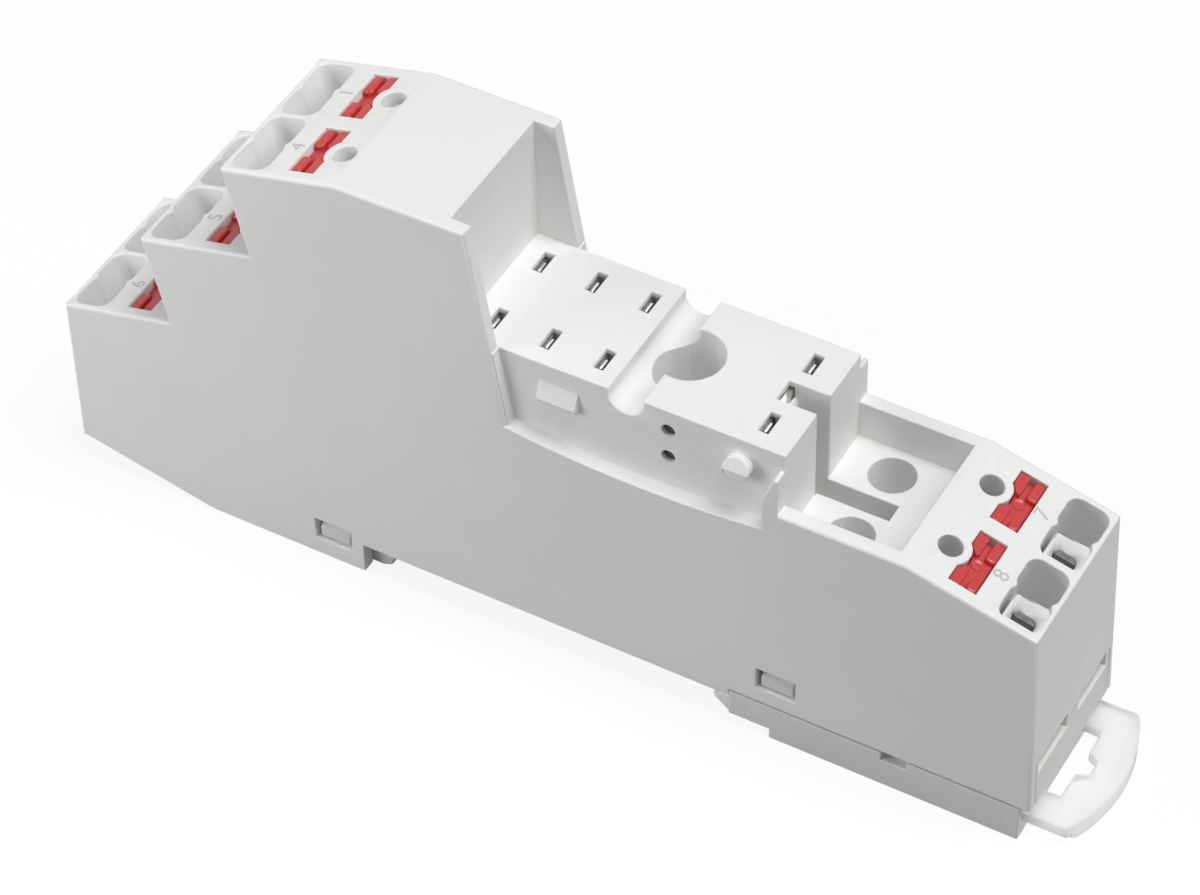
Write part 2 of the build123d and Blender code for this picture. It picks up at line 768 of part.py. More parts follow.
def make_lever(tier, v, far):
    """Release lever of one terminal: waisted head with four pads, and a flange in the chamber."""
    with BuildPart() as lever:
        head_level = -(lever_sink + pad_height)
        with BuildSketch(tier.offset(head_level)):
            with Locations((0, v)):
                add(lever_outline(-terminal_clearance))
        extrude(amount=lever_foot_level - head_level)
        with BuildSketch(tier.offset(head_level)):
            with Locations((window_centre, v)):
                across = (window_length - 2 * terminal_clearance - pad_length) / 2
                along = (pad_gap + pad_width) / 2
                with GridLocations(2 * across, 2 * along, 2, 2):
                    Rectangle(pad_length, pad_width)
            with Locations((0, v)):
                add(lever_outline(-terminal_clearance), mode=Mode.INTERSECT)
        extrude(amount=pad_height)
        with BuildSketch(tier.offset(-(chamber_roof + terminal_clearance))):
            with Locations((window_centre, v)):
                Rectangle(window_length + 2 * flange_reach, window_width)
        extrude(amount=-lever_flange)
        with BuildSketch(tier.offset(head_level)):
            with Locations((window_centre, v + far * (window_width - gap_width) / 2)):
                Rectangle(gap_length, gap_width)
        extrude(amount=-gap_depth, mode=Mode.SUBTRACT)
    return lever.part


def make_spring(tier, v):
    """Clamp spring of one terminal: fixed leg on the busbar, loop, and leg that holds the wires."""
    with BuildPart() as spring:
        with BuildSketch(side_plane(tier, v)):
            with BuildLine():
                FilletPolyline(
                    (spring_tip_u, spring_top_level - spring_rise),
                    (spring_end_u, spring_top_level),
                    (spring_end_u, fixed_leg_level),
                    (spring_end_u - fixed_leg, fixed_leg_level),
                    radius=spring_round,
                )
            trace(line_width=spring_thickness)
        extrude(amount=spring_width / 2, both=True)
    return spring.part


def make_busbar(tier, y, pin_x, run_height):
    """Busbar of one terminal: contact plate, run through the housing and fork for the relay's pin."""
    with BuildPart() as busbar:
        plate_top = tier_point(tier, plate_u, -(chamber_roof + terminal_clearance))
        plate_corner = tier_point(tier, plate_u, busbar_level)
        plate_end = tier_point(tier, chamber_start + chamber_length - terminal_clearance, busbar_level)
        with BuildSketch(Plane.XZ.offset(-y)):
            with BuildLine():
                Polyline(*folded([plate_top, plate_corner, plate_end]))
            trace(line_width=busbar_thickness)
        extrude(amount=contact_plate_width / 2, both=True)
        with BuildSketch(Plane.XZ.offset(-y)):
            with BuildLine():
                Polyline(*folded(busbar_run(tier, pin_x, run_height)))
            trace(line_width=busbar_thickness)
        extrude(amount=busbar_width / 2, both=True)
        with BuildSketch(Plane.XZ.offset(-y)):
            for leaf in (-1, 1):
                with BuildLine():
                    Polyline(
                        (pin_x, fork_bottom),
                        (pin_x + leaf * fork_base / 2, fork_bottom),
                        (pin_x + leaf * fork_base / 2, fork_bottom + fork_height * 0.55),
                        (pin_x + leaf * (fork_pinch + fork_thickness) / 2, fork_bottom + fork_height * 0.82),
                        (pin_x + leaf * fork_mouth / 2, fork_bottom + fork_height - fork_play),
                    )
                trace(line_width=fork_thickness)
        extrude(amount=fork_width / 2, both=True)
    return busbar.part


levers, springs, busbars = {}, {}, {}
for row, tier, pin_x, run_height in rows:
    for pole, y in poles.items():
        v = y * tier.y_dir.Y
        levers[f"release_lever_{row}_{pole}"] = make_lever(tier, v, tier.y_dir.Y)
        springs[f"clamp_spring_{row}_{pole}"] = make_spring(tier, v)
        busbars[f"busbar_{row}_{pole}"] = make_busbar(tier, y, pin_x, run_height)

# Tongues of the two coil busbars, which a plug-in module touches in the notch
for pole, y in poles.items():
    inward = -1 if y > 0 else 1
    with BuildPart() as tongue:
        with BuildSketch(Plane.XY.offset(fork_bottom + fork_base)):
            with Locations((rows[3][2] - fork_base / 2, y + inward * (fork_width + link_width) / 2)):
                Rectangle(fork_thickness, link_width)
        extrude(amount=fork_height + deck_roof - fork_base - tongue_drop)
    name = f"busbar_coil_{pole}"
    busbars[name] = busbars[name] + tongue.part

pieces = {"housing": housing.part, "base": base.part, "rail_latch": rail_latch.part,
          "latch_spring": latch_spring.part, **levers, **springs, **busbars}
os.makedirs("parts", exist_ok=True)
for name, piece in pieces.items():
    piece.label = name
    export_step(piece, f"parts/{name}.step")
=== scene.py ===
import bmesh
import bpy
import math
from mathutils import Matrix, Vector


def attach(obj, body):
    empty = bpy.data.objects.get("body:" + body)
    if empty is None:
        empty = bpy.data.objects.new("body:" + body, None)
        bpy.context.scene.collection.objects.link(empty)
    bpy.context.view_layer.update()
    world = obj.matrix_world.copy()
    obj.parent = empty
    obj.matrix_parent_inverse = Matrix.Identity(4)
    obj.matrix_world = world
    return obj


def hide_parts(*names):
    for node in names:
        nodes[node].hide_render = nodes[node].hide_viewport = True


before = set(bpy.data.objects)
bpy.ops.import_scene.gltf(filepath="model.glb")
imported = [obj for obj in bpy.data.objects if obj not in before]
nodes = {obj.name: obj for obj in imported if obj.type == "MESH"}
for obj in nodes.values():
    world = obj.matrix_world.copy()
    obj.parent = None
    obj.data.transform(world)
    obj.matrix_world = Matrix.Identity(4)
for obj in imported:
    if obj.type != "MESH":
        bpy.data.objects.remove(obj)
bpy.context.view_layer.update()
scene = bpy.context.scene
scene.view_settings.view_transform = "Standard"
mm = 0.001
rows = ("com", "no", "nc", "coil")
poleY = {1: 3.75, 2: -3.75}      # mm, the far and the near pole
tolerance = 0.02                 # mm, for finding a corner by its place
print("frame loaded:", len(nodes), "nodes")


# Materials. Every pattern reads Object coordinates, in metres. In a look, cloud is the scale of the coarse
# pattern and edge, in mm, rounds the edges in the shading.
def nodeMaterial(name):
    mat = bpy.data.materials.new(name)
    mat.use_nodes = True
    tree = mat.node_tree
    tree.nodes.clear()
    out = tree.nodes.new("ShaderNodeOutputMaterial")
    bsdf = tree.nodes.new("ShaderNodeBsdfPrincipled")
    tree.links.new(bsdf.outputs["BSDF"], out.inputs["Surface"])
    coords = tree.nodes.new("ShaderNodeTexCoord")
    return mat, tree, bsdf, coords.outputs["Object"]


def noise(tree, coords, scale, detail=2.0, roughness=0.5):
    node = tree.nodes.new("ShaderNodeTexNoise")
    node.inputs["Scale"].default_value = scale
    node.inputs["Detail"].default_value = detail
    node.inputs["Roughness"].default_value = roughness
    tree.links.new(coords, node.inputs["Vector"])
    return node.outputs["Fac"]


# Two tones mixed by a pattern, between two places on its scale
def ramp(tree, factor, places, tones):
    node = tree.nodes.new("ShaderNodeValToRGB")
    for element, place, tone in zip(node.color_ramp.elements, places, tones):
        element.position, element.color = place, tone
    tree.links.new(factor, node.inputs["Fac"])
    return node.outputs["Color"]


# Rounds the edges in the shading and lays the look's fine grain over the surface
def softEdge(tree, bsdf, coords, look):
    bevel = tree.nodes.new("ShaderNodeBevel")
    bevel.samples = 6
    bevel.inputs["Radius"].default_value = look["edge"] * mm
    bump = tree.nodes.new("ShaderNodeBump")
    bump.inputs["Strength"].default_value = look["bump"]
    bump.inputs["Distance"].default_value = look["bumpDepth"]
    tree.links.new(noise(tree, coords, look["grain"]), bump.inputs["Height"])
    tree.links.new(bevel.outputs["Normal"], bump.inputs["Normal"])
    tree.links.new(bump.outputs["Normal"], bsdf.inputs["Normal"])


def tint(color, factor):
    return tuple(c * factor for c in color) + (1.0,)


# What the moulded plastics share
plainPlastic = {
    "detail": (3.0, 0.55),       # the cloud's detail and roughness
    "places": (0.30, 0.70),      # where its two tones lie
    "spread": 0.022,             # how far each tone strays from the colour
    "gloss": 0.38,
    "grain": 5200,               # scale of the fine pattern
    "bump": 0.18,
    "bumpDepth": 0.00004,        # m
}
mouldedGrey = {**plainPlastic, "color": (0.846, 0.858, 0.840), "roughness": 0.52, "cloud": 55, "edge": 0.06}
# The base's grey is darker than the housing's, partly its own tone and partly painted shade, so the rail hook
# in its window and the foot's side read darker
baseGrey = {**plainPlastic, "color": (0.755, 0.760, 0.735), "roughness": 0.55, "cloud": 70, "edge": 0.06}
leverRed = {**plainPlastic, "color": (0.570, 0.034, 0.036), "roughness": 0.25, "cloud": 4400, "edge": 0.08,
            "grain": 4200, "spread": 0.14, "gloss": 0.60, "bump": 0.65}
inkGrey = {**plainPlastic, "color": (0.560, 0.560, 0.550), "roughness": 0.60, "cloud": 200, "edge": 0.02}
# Painted shade: a near-black plastic for the plugs set inside the side holes and the coil wire slots,
# standing in for the shade deep in them
paintedHoleShade = {**plainPlastic, "color": (0.060, 0.062, 0.058), "roughness": 0.7, "cloud": 90, "edge": 0.02}


def mouldedPlastic(name, look):
    mat, tree, bsdf, coords = nodeMaterial(name)
    cloud = noise(tree, coords, look["cloud"], *look["detail"])
    tones = [tint(look["color"], factor) for factor in (1 - look["spread"], 1 + look["spread"])]
    tree.links.new(ramp(tree, cloud, look["places"], tones), bsdf.inputs["Base Color"])
    bsdf.inputs["Roughness"].default_value = look["roughness"]
    bsdf.inputs["Specular IOR Level"].default_value = look["gloss"]
    softEdge(tree, bsdf, coords, look)
    return mat


milkyWhite = {
    "cloud": 160,
    "detail": (3.0, 0.5),
    "places": (0.25, 0.75),
    "tones": ((0.95, 0.955, 0.95, 1), (0.985, 0.985, 0.98, 1)),
    "roughness": 0.75,
    "subsurface": 0.5,
    "radius": (1.0, 1.0, 0.95),
    "depth": 0.003,              # m, how far light spreads inside
    "transmission": 0.80,
    "ior": 1.42,
    "grain": 2600,
    "bump": 0.12,
    "bumpDepth": 0.00004,        # m
    "edge": 0.12,                # mm
}


def milkyPlastic(name, look):
    mat, tree, bsdf, coords = nodeMaterial(name)
    cloud = noise(tree, coords, look["cloud"], *look["detail"])
    tree.links.new(ramp(tree, cloud, look["places"], look["tones"]), bsdf.inputs["Base Color"])
    bsdf.inputs["Roughness"].default_value = look["roughness"]
    bsdf.inputs["Subsurface Weight"].default_value = look["subsurface"]
    bsdf.inputs["Subsurface Radius"].default_value = look["radius"]
    bsdf.inputs["Subsurface Scale"].default_value = look["depth"]
    bsdf.inputs["Transmission Weight"].default_value = look["transmission"]
    bsdf.inputs["IOR"].default_value = look["ior"]
    softEdge(tree, bsdf, coords, look)
    return mat


# What the two metals share
plainStrip = {
    "cloud": 420,
    "detail": (4.0, 0.6),
    "places": (0.3, 0.7),
    "tones": (0.86, 1.04),       # shares of the colour
    "polish": (-0.06, 0.08),     # how far the roughness strays
    "grain": 3000,
    "bump": 0.08,
    "bumpDepth": 0.00002,        # m
    "edge": 0.05,                # mm
}
springSteel = {**plainStrip, "color": (0.60, 0.60, 0.60), "roughness": 0.30}
tinnedCopper = {**plainStrip, "color": (0.88, 0.88, 0.86), "roughness": 0.30}


def stripMetal(name, look):
    mat, tree, bsdf, coords = nodeMaterial(name)
    bsdf.inputs["Metallic"].default_value = 1.0
    smear = noise(tree, coords, look["cloud"], *look["detail"])
    tones = [tint(look["color"], factor) for factor in look["tones"]]
    tree.links.new(ramp(tree, smear, look["places"], tones), bsdf.inputs["Base Color"])
    polish = tree.nodes.new("ShaderNodeMapRange")
    polish.inputs["To Min"].default_value = look["roughness"] + look["polish"][0]
    polish.inputs["To Max"].default_value = look["roughness"] + look["polish"][1]
    tree.links.new(smear, polish.inputs["Value"])
    tree.links.new(polish.outputs["Result"], bsdf.inputs["Roughness"])
    softEdge(tree, bsdf, coords, look)
    return mat


finishes = {
    "housing": mouldedPlastic("housingPlastic", mouldedGrey),
    "base": mouldedPlastic("basePlastic", baseGrey),
    "lever": mouldedPlastic("leverPlastic", leverRed),
    "ink": mouldedPlastic("numeralGrey", inkGrey),
    "latch": milkyPlastic("latchPlastic", milkyWhite),
    "spring": stripMetal("springSteel", springSteel),
    "busbar": stripMetal("tinnedCopper", tinnedCopper),
    # painted shade for the inside of the side holes and the wire slots
    "shade": mouldedPlastic("holeShade", paintedHoleShade),
}
print("materials made")


# The four tiers of terminals
tiers = {
    "com": {"place": (-48.6185, 18.6), "inboard": 1},       # X and Z of the tier's outer edge, mm
    "no": {"place": (-39.6501, 30.2655), "inboard": 1},
    "nc": {"place": (-30.6817, 41.9309), "inboard": 1},
    "coil": {"place": (43.1185, 24.0545), "inboard": -1},
    "slope": 14.6,               # degrees
}


# Outer edge of a tier, and its directions inboard along the slope and out of it
def tierAxes(row):
    tier = tiers[row]
    lean = math.radians(tiers["slope"])
    along = Vector((tier["inboard"] * math.cos(lean), 0, math.sin(lean)))
    out = Vector((-tier["inboard"] * math.sin(lean), 0, math.cos(lean)))
    return Vector((tier["place"][0], 0, tier["place"][1])), along, out


# Place on a tier, u inboard and w out of it: local X runs along +Y and local Y towards -X
def tierFrame(row, u, y, w):
    edge, along, out = tierAxes(row)
    origin = edge + Vector((0, y, 0)) + along * u + out * w
    across = Vector((0, 1, 0))
    turn = Matrix((across, out.cross(across), out)).transposed().to_4x4()
    return Matrix.Translation(origin * mm) @ turn


# Rounds edges of a mesh by an offset in mm
def roundEdges(bm, edges, offset, segments, clamp=True):
    bmesh.ops.bevel(bm, geom=edges, offset=offset * mm, offset_type="OFFSET", segments=segments, profile=0.5,
                    affect="EDGES", clamp_overlap=clamp, material=-1, loop_slide=False)


# Whether every place found lies on the one wanted, in mm
def matches(*pairs):
    return all(abs(found - wanted) < tolerance for found, wanted in pairs)


# The coil pockets' funnels, in mm: u runs inboard from the tier's edge, y from the pocket's middle and w out
# of the tier
coilFunnel = {
    "u": (0.95, 3.05),           # the wire slot's ends
    "y": (-3.05, -1.85),         # its sides
    "w": -2.2,                   # its upper edge
    "rim": -0.6,                 # the funnel's upper edge
    "newY": (-2.70, -0.90),
    "newW": -1.70,
    "top": {"u": (0.85, 3.15), "y": (-3.05, -0.50), "newU": (0.56, 3.42), "newY": (-2.78, -0.30)},
    "corner": 0.45,              # radius of the corners towards the pocket's middle
    "cornerAngle": 30.0,         # degrees, a flatter edge there is no corner
    # where the dark block of painted shade sits inside a wire slot
    "shade": {"u": (0.90, 3.10), "y": (-2.80, -0.88), "w": (-3.00, -2.22)},
}


# Widens the wire slots towards the middle of the coil pockets and rounds their funnels' corners
def openCoilSlots(bm):
    edge, along, out = tierAxes("coil")
    look = coilFunnel
    slot, inner, top = set(), set(), look["top"]
    for vert in bm.verts:
        place = vert.co / mm - edge
        u, w = place.dot(along), place.dot(out)
        for pole in poleY.values():
            y = place.y - pole
            if matches((w, look["w"])) and any(matches((u, end)) for end in look["u"]):
                for old, new in zip(look["y"], look["newY"]):
                    if matches((y, old)):
                        vert.co += (Vector((0, new - old, 0)) + out * (look["newW"] - look["w"])) * mm
                        slot.add(vert)
                        if new == look["newY"][1]:
                            inner.add(vert)
            for oldU, newU in zip(top["u"], top["newU"]):
                for oldY, newY in zip(top["y"], top["newY"]):
                    if matches((w, look["rim"]), (u, oldU), (y, oldY)):
                        vert.co += (Vector((0, newY - oldY, 0)) + along * (newU - oldU)) * mm
    bm.normal_update()
    flattest = math.radians(look["cornerAngle"])
    corners = []
    for vert in inner:
        for link in vert.link_edges:
            end = link.other_vert(vert)
            if end not in slot and matches(((end.co / mm - edge).dot(out), look["rim"])):
                if len(link.link_faces) == 2 and link.calc_face_angle(0.0) > flattest:
                    corners.append(link)
    roundEdges(bm, corners, look["corner"], segments=3, clamp=False)
    print("coil slots opened:", len(slot), "corners,", len(corners), "rounded")


baseShape = {
    "footX": 15.5,               # mm, from here the foot's top face is lowered
    "seamHeight": 3.9,           # mm, that face's height
    "seamDrop": 0.10,            # mm
    "hook": ((-18.018, 0.0), (-17.218, 0.8)),    # X and Z of the rail hook's folds, mm
    "hookRound": 0.42,           # mm
}


# Lowers the foot's top face, so that its seam with the housing reads as a dark line, and rounds the rail hook
def shapeBase(bm):
    for vert in bm.verts:
        if vert.co.x > baseShape["footX"] * mm and matches((vert.co.z / mm, baseShape["seamHeight"])):
            vert.co.z -= baseShape["seamDrop"] * mm

    def onFold(edge, x, z):
        return all(matches((v.co.x / mm, x), (v.co.z / mm, z)) for v in edge.verts)

    folds = [e for e in bm.edges if any(onFold(e, x, z) for x, z in baseShape["hook"])]
    roundEdges(bm, folds, baseShape["hookRound"], segments=3)
    print("base shaped,", len(folds), "hook edges rounded")


# The levers' moulded tops, in mm: u runs inboard from the tier's edge, y from the pole's middle and heights
# out of the tier
leverPads = {
    "low": -0.68,
    "high": -0.18,
    "outboard": ((6.15, 0.70), (7.10, 0.70), (7.10, 2.83), (6.15, 2.83)),
    "inboard": ((7.60, 0.70), (7.98, 0.70), (8.54, 1.42), (8.54, 2.83), (7.60, 2.83)),
    "inner": (0.65, 0.85),       # a pad's inner end lies between these
    "outboardEnd": 7.2,          # an outboard pad ends short of this
    "body": -0.70,               # a lever's top face lies just above this
    "cut": 0.95,                 # a coil lever's near outboard pad is shorter by this
    "cornerRound": 0.26,
    "topRound": 0.20,
    "ring": {"u": 7.30, "y": -0.10, "radius": 0.56, "taper": 0.03, "depth": 0.2, "wall": 0.12, "high": -0.58,
             "dip": 0.065, "segments": 28},
}


# Shortens the near outboard pad of a coil lever, as the photo shows it
def shortenPad(row, y):
    edge, along, out = tierAxes(row)
    start, end = leverPads["inner"]

    def reshape(bm):
        for vert in bm.verts:
            place = vert.co / mm - edge
            onPad = place.dot(along) < leverPads["outboardEnd"] and place.dot(out) > leverPads["body"]
            if onPad and start < y - place.y < end:
                vert.co.y -= leverPads["cut"] * mm
    return reshape


# Moulded pieces: the solid's own shape with its sharp edges rounded
softRounds = {
    "housing": 0.12,     # mm
    "base": 0.12,
    "rail_latch": 0.20,
    "lever": 0.10,
    "sharp": 50.0,       # degrees; flatter joints between faces are left as they are
    "shortest": 0.1,     # mm; the many small facets of an arc keep their edge
    "segments": 2,
    "weld": 0.002,       # mm, for the solid's corners
    "weldAgain": 0.001,
}


# Smooth faces that meet at less than the given angle, made an object that rides on its body
def finishPiece(name, bm, angle, body, material):
    for face in bm.faces:
        face.smooth = True
    for edge in bm.edges:
        edge.smooth = not (len(edge.link_faces) == 2 and edge.calc_face_angle(0.0) > angle)
    mesh = bpy.data.meshes.new(name)
    bm.to_mesh(mesh)
    bm.free()
    mesh.materials.append(material)
    piece = bpy.data.objects.new(name, mesh)
    scene.collection.objects.link(piece)
    weights = piece.modifiers.new("flatFaces", "WEIGHTED_NORMAL")
    weights.keep_sharp = True
    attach(piece, body)
    return piece


def dressNode(nodeName, pieceName, body, material, radius, reshape=None):
    bm = bmesh.new()
    bm.from_mesh(nodes[nodeName].data)
    bmesh.ops.remove_doubles(bm, verts=bm.verts, dist=softRounds["weld"] * mm)
    if reshape:
        reshape(bm)
    sharp = math.radians(softRounds["sharp"])
    edges = [e for e in bm.edges if len(e.link_faces) == 2 and e.calc_face_angle(0.0) > sharp
             and e.is_convex and e.calc_length() > softRounds["shortest"] * mm]
    roundEdges(bm, edges, radius, softRounds["segments"], clamp=False)
    bmesh.ops.remove_doubles(bm, verts=bm.verts, dist=softRounds["weldAgain"] * mm)
    piece = finishPiece(pieceName, bm, sharp, body, material)
    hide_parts(nodeName)
    print("dressed", nodeName, len(piece.data.polygons), "faces")


dressNode("housing", "mouldedHousing", "socket", finishes["housing"],
          softRounds["housing"], openCoilSlots)
dressNode("base", "mouldedBase", "socket", finishes["base"],
          softRounds["base"], shapeBase)
dressNode("rail_latch", "slidingLatch", "latch", finishes["latch"],
          softRounds["rail_latch"])
for row in rows:
    for pole, poleMiddle in poleY.items():
        dressNode(f"release_lever_{row}_{pole}", f"redLever-{row}-{pole}", f"lever_{row}_{pole}",
                  finishes["lever"], softRounds["lever"],
                  shortenPad(row, poleMiddle) if row == "coil" else None)
for name, node in nodes.items():
    for start, metal in (("clamp_spring", "spring"), ("latch_spring", "spring"), ("busbar", "busbar")):
        if name.startswith(start):
            node.data.materials.clear()
            node.data.materials.append(finishes[metal])
print("moulded pieces dressed")


# Small pieces that ride on the dressed ones
smallPieces = {"weld": 0.0005, "sharp": 38.0}    # mm and degrees


def addPiece(name, bm, body, material):
    bmesh.ops.remove_doubles(bm, verts=bm.verts, dist=smallPieces["weld"] * mm)
    bmesh.ops.recalc_face_normals(bm, faces=bm.faces)
    finishPiece(name, bm, math.radians(smallPieces["sharp"]), body, material)


# A flat outline in mm made a block: height along Z, every upright edge and the top rim rounded
def roundedBlock(bm, outline, low, high, cornerRound, topRound):
    verts = [bm.verts.new((x * mm, y * mm, low * mm)) for x, y in outline]
    face = bm.faces.new(verts)
    grown = bmesh.ops.extrude_face_region(bm, geom=[face])["geom"]
    upper = [v for v in grown if isinstance(v, bmesh.types.BMVert)]
    bmesh.ops.translate(bm, verts=upper, vec=(0, 0, (high - low) * mm))
    upright = [e for v in upper for e in v.link_edges if e.other_vert(v) not in upper]
    bmesh.ops.recalc_face_normals(bm, faces=bm.faces)
    roundEdges(bm, upright, cornerRound, segments=3)
    rim = [e for e in bm.edges if all(matches((v.co.z / mm, high)) for v in e.verts)]
    roundEdges(bm, rim, topRound, segments=3)


# Four pads and the gate ring of one lever. On the coil tier the near side is local +Y
def makePads(row, pole):
    bm = bmesh.new()
    for outline in (leverPads["outboard"], leverPads["inboard"]):
        for side in (1, -1):
            pad = bmesh.new()
            cut = leverPads["cut"] if row == "coil" and side > 0 and outline is leverPads["outboard"] else 0.0
            corners = [(u, side * (y + cut if y < leverPads["inner"][1] else y)) for u, y in outline]
            roundedBlock(pad, corners, leverPads["low"], leverPads["high"], leverPads["cornerRound"],
                         leverPads["topRound"])
            block = bpy.data.meshes.new("padBlock")
            pad.to_mesh(block)
            pad.free()
            bm.from_mesh(block)
            bpy.data.meshes.remove(block)
    ring = leverPads["ring"]
    disc = bmesh.ops.create_cone(bm, cap_ends=True, segments=ring["segments"], radius1=ring["radius"] * mm,
                                 radius2=(ring["radius"] - ring["taper"]) * mm,
                                 depth=ring["depth"] * mm)["verts"]
    middle = (ring["u"] * mm, ring["y"] * mm, (ring["high"] - ring["depth"] / 2) * mm)
    bmesh.ops.translate(bm, verts=disc, vec=middle)
    top = max({f for v in disc for f in v.link_faces}, key=lambda f: f.calc_center_median().z)
    bmesh.ops.inset_region(bm, faces=[top], thickness=ring["wall"] * mm)
    bmesh.ops.translate(bm, verts=top.verts, vec=(0, 0, -ring["dip"] * mm))
    edge, along, out = tierAxes(row)
    turn = Matrix((along, out.cross(along), out)).transposed().to_4x4()
    bm.transform(Matrix.Translation((edge + Vector((0, poleY[pole], 0))) * mm) @ turn)
    addPiece(f"leverPads-{row}-{pole}", bm, f"lever_{row}_{pole}", finishes["lever"])


for row in rows:
    for pole in poleY:
        makePads(row, pole)


# What stands on the deck block's two sides and the cheeks, in mm
clipRamp = {
    "x": (-1.98, 1.62),
    "profile": ((6.50, 28.40), (6.99, 28.40), (7.27, 29.00), (6.50, 30.74)),     # Y and Z
    "round": 0.06,
}
clipPeg = {
    "place": (16.419, 30.0),     # X and Z
    "radius": 1.14,
    "reach": (6.45, 7.87),
    "slant": 0.62,               # how far the end's upper half falls back
    "dimple": (0.10, 0.22),      # the lower half's rim and depth
    "flange": {"radius": 1.28, "reach": (6.45, 6.69)},
    "round": 0.07,
    "sharp": 20.0,               # degrees, a sharper edge is rounded
    "level": 0.999,              # Y of the lower half's normal is above this
}
cheekStep = {
    "profile": ((-5.90, 32.42), (-5.64, 32.42), (-4.44, 24.95), (-4.70, 24.95)),     # X and Z
    "y": (6.57, 7.58),
    "round": 0.05,
}
sideHoles = {"x": 9.819, "heights": (27.4, 30.3), "radius": 0.645, "reach": (5.30, 6.12)}
drumSegments = 40            # of the peg, its flange and the hole shades


# A bar with rounded edges: its outline lies across the axis, and its ends along it, in mm
def makePrism(outline, axis, ends, radius):
    bm = bmesh.new()
    verts = []
    for a, b in outline:
        verts.append(bm.verts.new(Vector((ends[0], a, b) if axis == "X" else (a, ends[0], b)) * mm))
    face = bm.faces.new(verts)
    grown = bmesh.ops.extrude_face_region(bm, geom=[face])["geom"]
    shift = Vector((1, 0, 0) if axis == "X" else (0, 1, 0)) * (ends[1] - ends[0]) * mm
    bmesh.ops.translate(bm, verts=[v for v in grown if isinstance(v, bmesh.types.BMVert)], vec=shift)
    bmesh.ops.recalc_face_normals(bm, faces=bm.faces)
    roundEdges(bm, list(bm.edges), radius, segments=2)
    return bm


# A short cylinder along Y, at a place given by X and Z
def makeDrum(bm, place, radius, reach, side):
    depth = reach[1] - reach[0]
    turn = Matrix.Rotation(math.radians(90), 4, "X")
    shift = Matrix.Translation(Vector((place[0], side * (reach[0] + depth / 2), place[1])) * mm)
    bmesh.ops.create_cone(bm, cap_ends=True, segments=drumSegments, radius1=radius * mm, radius2=radius * mm,
                          depth=depth * mm, matrix=shift @ turn)


# The peg's end is cut aslant above its middle and hollowed below it
def makePeg(side):
    bm = bmesh.new()
    makeDrum(bm, clipPeg["place"], clipPeg["radius"], clipPeg["reach"], side)
    x, z = clipPeg["place"]
    tip = clipPeg["reach"][1]
    lean = Vector((0, side * clipPeg["radius"], clipPeg["slant"]))
    bmesh.ops.bisect_plane(bm, geom=bm.verts[:] + bm.edges[:] + bm.faces[:], dist=1e-8, clear_outer=True,
                           plane_co=Vector((x, side * tip, z)) * mm, plane_no=lean.normalized())
    bmesh.ops.holes_fill(bm, edges=[e for e in bm.edges if len(e.link_faces) == 1])
    bmesh.ops.recalc_face_normals(bm, faces=bm.faces)
    sharp = math.radians(clipPeg["sharp"])
    rim = [e for e in bm.edges if len(e.link_faces) == 2 and e.calc_face_angle(0.0) > sharp]
    roundEdges(bm, rim, clipPeg["round"], segments=2)
    flat = max((f for f in bm.faces if f.normal.y * side > clipPeg["level"]), key=lambda f: f.calc_area())
    bmesh.ops.inset_region(bm, faces=[flat], thickness=clipPeg["dimple"][0] * mm)
    bmesh.ops.translate(bm, verts=flat.verts, vec=(0, -side * clipPeg["dimple"][1] * mm, 0))
    return bm


def addSideDetail(side, sideName):
    profile = [(side * y, z) for y, z in clipRamp["profile"]]
    flange = bmesh.new()
    makeDrum(flange, clipPeg["place"], clipPeg["flange"]["radius"], clipPeg["flange"]["reach"], side)
    ends = [side * y for y in cheekStep["y"]]
    # Dark discs a little way inside the side holes: painted shade for the holes' depth
    paintedShades = bmesh.new()
    for height in sideHoles["heights"]:
        makeDrum(paintedShades, (sideHoles["x"], height), sideHoles["radius"], sideHoles["reach"], side)
    for name, bm, look in (
            ("clipRamp", makePrism(profile, "X", clipRamp["x"], clipRamp["round"]), "housing"),
            ("clipPeg", makePeg(side), "housing"),
            ("pegFlange", flange, "housing"),
            ("cheekStep", makePrism(cheekStep["profile"], "Y", ends, cheekStep["round"]), "housing"),
            ("sideHoleShade", paintedShades, "shade")):
        addPiece(f"{name}-{sideName}", bm, "socket", finishes[look])


addSideDetail(1, "far")
addSideDetail(-1, "near")


# Contacts seen in the deck's pin slots and, folded over, in its notch, in mm
contactLeaf = {
    "pins": (-7.481, -2.481, 2.519, 17.419),     # X of the relay's pins
    "x": (-0.20, 0.09),          # from the pin
    "y": (-0.72, 0.48),
    "z": (31.40, 32.02),
    "round": 0.10,
}
coilTab = {
    "profile": ((16.62, 31.66), (16.70, 31.77), (17.06, 31.45),      # X and Z
                (17.06, 30.20), (16.93, 30.20), (16.93, 31.38)),
    "y": (-0.50, 0.62),
    "round": 0.02,
}


def makeLeaves():
    z0, z1 = contactLeaf["z"]
    for number, pinX in enumerate(contactLeaf["pins"]):
        x0, x1 = (pinX + end for end in contactLeaf["x"])
        outline = ((x0, z0), (x1, z0), (x1, z1), (x0, z1))
        for pole, middle in poleY.items():
            ends = [middle + end for end in contactLeaf["y"]]
            addPiece(f"contactLeaf-{number}-{pole}", makePrism(outline, "Y", ends, contactLeaf["round"]),
                     "socket", finishes["busbar"])


makeLeaves()
addPiece("coilTab", makePrism(coilTab["profile"], "Y", coilTab["y"], coilTab["round"]),
         "socket", finishes["busbar"])
